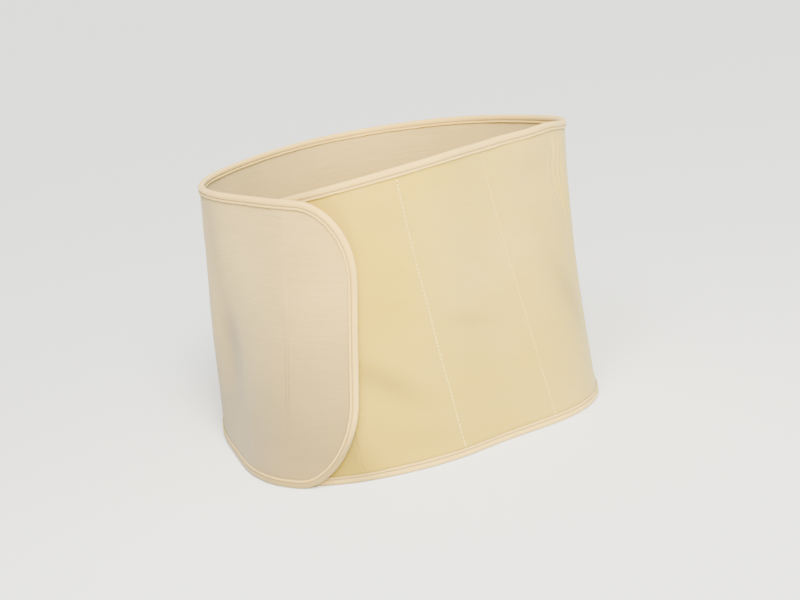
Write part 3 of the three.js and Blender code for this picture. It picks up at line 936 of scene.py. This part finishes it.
def tape_stitches(name, edge):
    """Stitches in the tape's crease, on the outside and the inside."""
    round_, height, in_round, in_height = edge
    line = along_run(round_ + in_round * CREASE, height + in_height * CREASE, TAPE_STITCH_PITCH)
    faces = np.repeat((TAPE_FACE - TAPE_STITCH_SUNK, TAPE_STITCH_SUNK - TAPE_INNER_FACE), len(line[0]))
    return stitches(name, *np.tile(line, 2), faces, TAPE_STITCH, TAPE_THREAD)


def upright_stitches(name, rounds, heights, faces, size, material):
    """Stitches one above the other."""
    upright = np.ones_like(heights)
    return stitches(name, rounds, heights, 0 * upright, upright, faces, size, material)


panel_margin, flap_margin, top_margin = STITCH_MARGIN
seam_heights = np.arange(TAPE_SEEN + panel_margin, BAND_HEIGHT - TAPE_SEEN - top_margin, STITCH_PITCH)
seam_rounds = np.concatenate([seam + seam_wander(seam_heights, k) for k, seam in enumerate(SEAMS)])
seam_proud = np.repeat(SEAM_PROUD, len(seam_heights))
seam_heights = np.tile(seam_heights, len(SEAMS))
seam_faces = panel_outside(seam_rounds, seam_heights) + seam_proud
panel_stitches = upright_stitches(
    "panel_stitches", seam_rounds, seam_heights, seam_faces, SEAM_STITCH, SEAM_THREAD)

sewn_heights = np.arange(TAPE_SEEN + flap_margin, BAND_HEIGHT - TAPE_SEEN - top_margin, STITCH_PITCH)
sewn_rounds = np.repeat(stitch_edges, len(sewn_heights))
sewn_heights = np.tile(sewn_heights, len(stitch_edges))
sunk, sunk_top, sunk_reach = FLAP_SUNK
sewn_proud = FLAP_PROUD - sunk * smooth((sunk_top - sewn_heights) / sunk_reach)
sewn_faces = flap_outside(sewn_rounds, sewn_heights) + sewn_proud
flap_stitches = upright_stitches(
    "flap_stitches", sewn_rounds, sewn_heights, sewn_faces, FLAP_STITCH, FLAP_THREAD)

top_stitches = tape_stitches("top_stitches", top_edge)
bottom_stitches = tape_stitches("bottom_stitches", bottom_edge)
corner_stitches = tape_stitches("corner_stitches", flap_edge)

# The hidden patch between the flap and the panel
hook_low = CORNER_RISE / 2 + HOOK_MARGIN
hook_start = FLAP_END + TAPE_WIDTH + HOOK_MARGIN
hook_end = PANEL_END - once_round(hook_low / BAND_HEIGHT) - TAPE_WIDTH - HOOK_MARGIN
hook_rounds = np.linspace(hook_start, hook_end, HOOK_COLUMNS)
hook_pad = cloth("hook_pad", hook_rounds, np.full(HOOK_COLUMNS, hook_low), HOOK_ROWS,
                 flat_side(GAP / 2 + OUTER - LAP_DEPTH + HOOK_CLEARANCE),
                 flat_side(-GAP / 2 - LINING - HOOK_CLEARANCE), HOOK_CLOTH)

# Each piece with its node, slot, flat length and breadth, and what is sewn on it
TAPE_UNFOLDED = 2 * TAPE_SEEN + OUTER + LINING
edge_length = tape_end - tape_start
pieces = (
    (panel, "outer_panel", "panel", (PANEL_END - JOIN, BAND_HEIGHT), (panel_stitches,)),
    (flap, "flap", "flap", (JOIN - FLAP_END, BAND_HEIGHT), (flap_stitches,)),
    (lining, "lining", "lining", (PANEL_END - FLAP_END, BAND_HEIGHT), ()),
    (top_tape, "top_binding", "binding", (edge_length, TAPE_UNFOLDED), (top_stitches,)),
    (bottom_tape, "bottom_binding", "binding", (edge_length, TAPE_UNFOLDED), (bottom_stitches,)),
    (flap_tape, "flap_binding", "binding", (CORNER_REACH + BAND_HEIGHT, TAPE_UNFOLDED), (corner_stitches,)),
    (end_tape, "inner_end_binding", "binding", (BAND_HEIGHT, TAPE_UNFOLDED), ()),
    (hook_pad, "hook_patch", "hook", (hook_end - hook_start, BAND_HEIGHT - 2 * hook_low), ()),
)
for piece, node, slot, cut, sewn in pieces:
    for part in (piece, *sewn):
        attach(part, "root")
    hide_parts(node)

# Floor
FLOOR_REACH = 20.0
floor_corners = [(x * FLOOR_REACH, y * FLOOR_REACH, 0) for x, y in ((-1, -1), (1, -1), (1, 1), (-1, 1))]
floor_mesh = bpy.data.meshes.new("floor")
floor_mesh.from_pydata(floor_corners, [], [(0, 1, 2, 3)])
floor_mesh.materials.append(matt("floor", (0.86, 0.90, 0.97), 0.95))
floor = bpy.data.objects.new("floor", floor_mesh)
bpy.context.scene.collection.objects.link(floor)

# Camera
CAMERA_TURN = 37.8315
CAMERA_RISE = 14.4211
CAMERA_ROLL = 10.0915
CAMERA_DISTANCE = 1431.81
FOCAL_PIXELS = 1651.66
CAMERA_AIM = (-7.930, -7.836, 94.84)
IMAGE_WIDTH = 800.0
SENSOR = 36.0


def direction_to(turn, rise):
    """The way from the object to a place: its turn from the front towards +X, and its rise, in degrees."""
    turn, rise = np.radians([turn, rise])
    return Vector((np.sin(turn) * np.cos(rise), -np.cos(turn) * np.cos(rise), np.sin(rise)))


roll = np.radians(CAMERA_ROLL)
away = direction_to(CAMERA_TURN, CAMERA_RISE)
aim =Vector((np.array(CAMERA_AIM) + SHIFT) * MM)
right = (-away).cross(Vector((0, 0, 1))).normalized()
up = right.cross(-away)
rolled_right = np.cos(roll) * right - np.sin(roll) * up
rolled_up = np.sin(roll) * right + np.cos(roll) * up
camera_data = bpy.data.cameras.new("camera")
camera_data.sensor_width = SENSOR
camera_data.lens = FOCAL_PIXELS * SENSOR / IMAGE_WIDTH
camera_data.clip_end = 50
camera = bpy.data.objects.new("camera", camera_data)
spot = aim + away * (CAMERA_DISTANCE * MM)
turned = Matrix((rolled_right, rolled_up, away)).transposed().to_4x4()
camera.matrix_world = Matrix.Translation(spot) @ turned
bpy.context.scene.collection.objects.link(camera)
bpy.context.scene.camera = camera

# Light
LIT_PLACE = (0, 0, 0.15)

world = bpy.data.worlds.new("studio")
world.use_nodes = True
world.node_tree.nodes["Background"].inputs["Color"].default_value = (0.92, 0.97, 1, 1)
world.node_tree.nodes["Background"].inputs["Strength"].default_value = 0.6
bpy.context.scene.world = world


def lamp_with(light, turn, rise, reach, colour):
    """A lamp at a reach in metres from the lit place, turned towards it."""
    light.color = colour
    lamp = bpy.data.objects.new(light.name, light)
    towards = direction_to(turn, rise)
    lamp.location = Vector(LIT_PLACE) + towards * reach
    lamp.rotation_euler = towards.to_track_quat("Z", "Y").to_euler()
    bpy.context.scene.collection.objects.link(lamp)


def wide_light(name, turn, rise, strength, spread, colour):
    """An even soft light from a direction, spread over an angle in degrees."""
    light = bpy.data.lights.new(name, "SUN")
    light.energy = strength * np.pi
    light.angle = np.radians(spread)
    lamp_with(light, turn, rise, 1.0, colour)


def near_light(name, turn, rise, reach, size, watts, colour):
    """A round soft box by the object."""
    light = bpy.data.lights.new(name, "AREA")
    light.shape = "DISK"
    light.size = size
    light.energy = watts
    lamp_with(light, turn, rise, reach, colour)


wide_light("key", 48.0, 36.0, 3.5, 30.0, (1.0, 0.91, 0.72))
wide_light("side", 118.0, 10.0, 0.5, 30.0, (0.25, 0.7, 1.0))
near_light("box", 40.0, 56.0, 0.85, 0.5, 13.0, (1.0, 0.93, 0.78))
